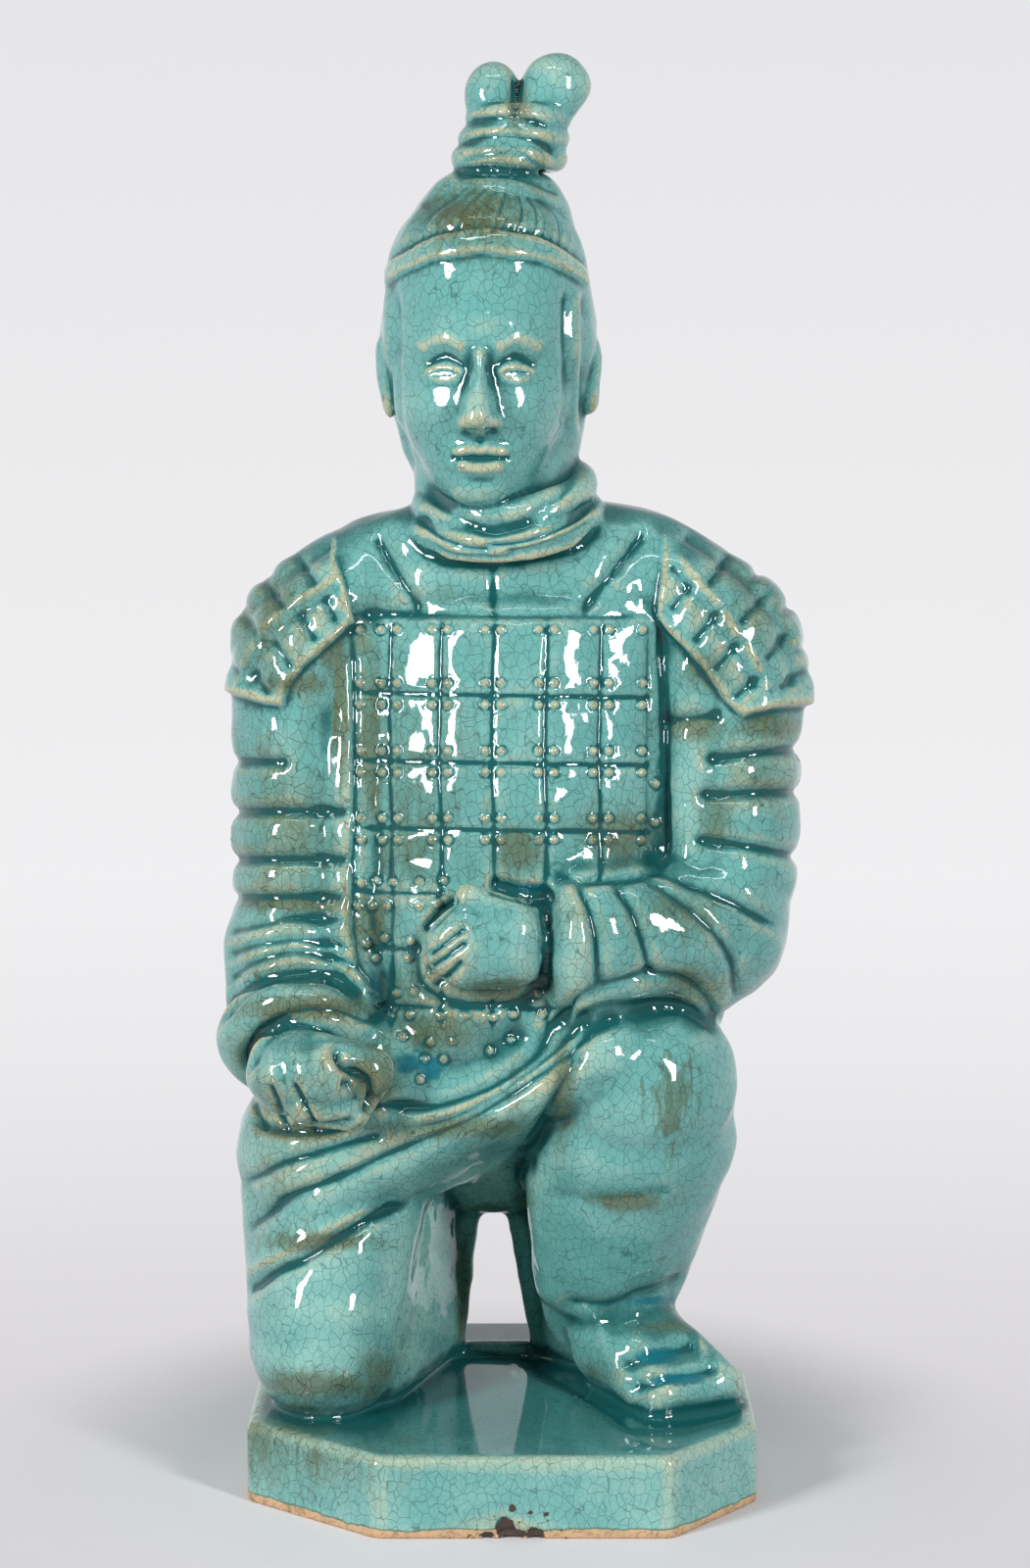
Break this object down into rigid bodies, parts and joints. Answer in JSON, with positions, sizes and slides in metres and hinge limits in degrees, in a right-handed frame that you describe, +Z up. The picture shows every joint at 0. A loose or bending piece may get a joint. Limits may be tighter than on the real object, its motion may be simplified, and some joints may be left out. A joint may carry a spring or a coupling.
{
  "type": "kneeling guard figurine",
  "caption": "Glazed ceramic figurine of a kneeling guard in plate armour with a tied top knot, cast in one with its low chamfered plinth.",
  "frame": {"origin": "centre of the plinth's underside", "axes": "+Z up along the figure's height; the figure faces -Y and its raised knee is at +X"},
  "size_m": [0.2017, 0.156, 0.4805],
  "materials": {
    "turquoise_glaze": "gloss crackle glaze, darker where it pools and cream where it thins, bare clay at the foot rim"
  },
  "bodies": {
    "root": {"figurine": "turquoise_glaze"}
  },
  "joints": []
}
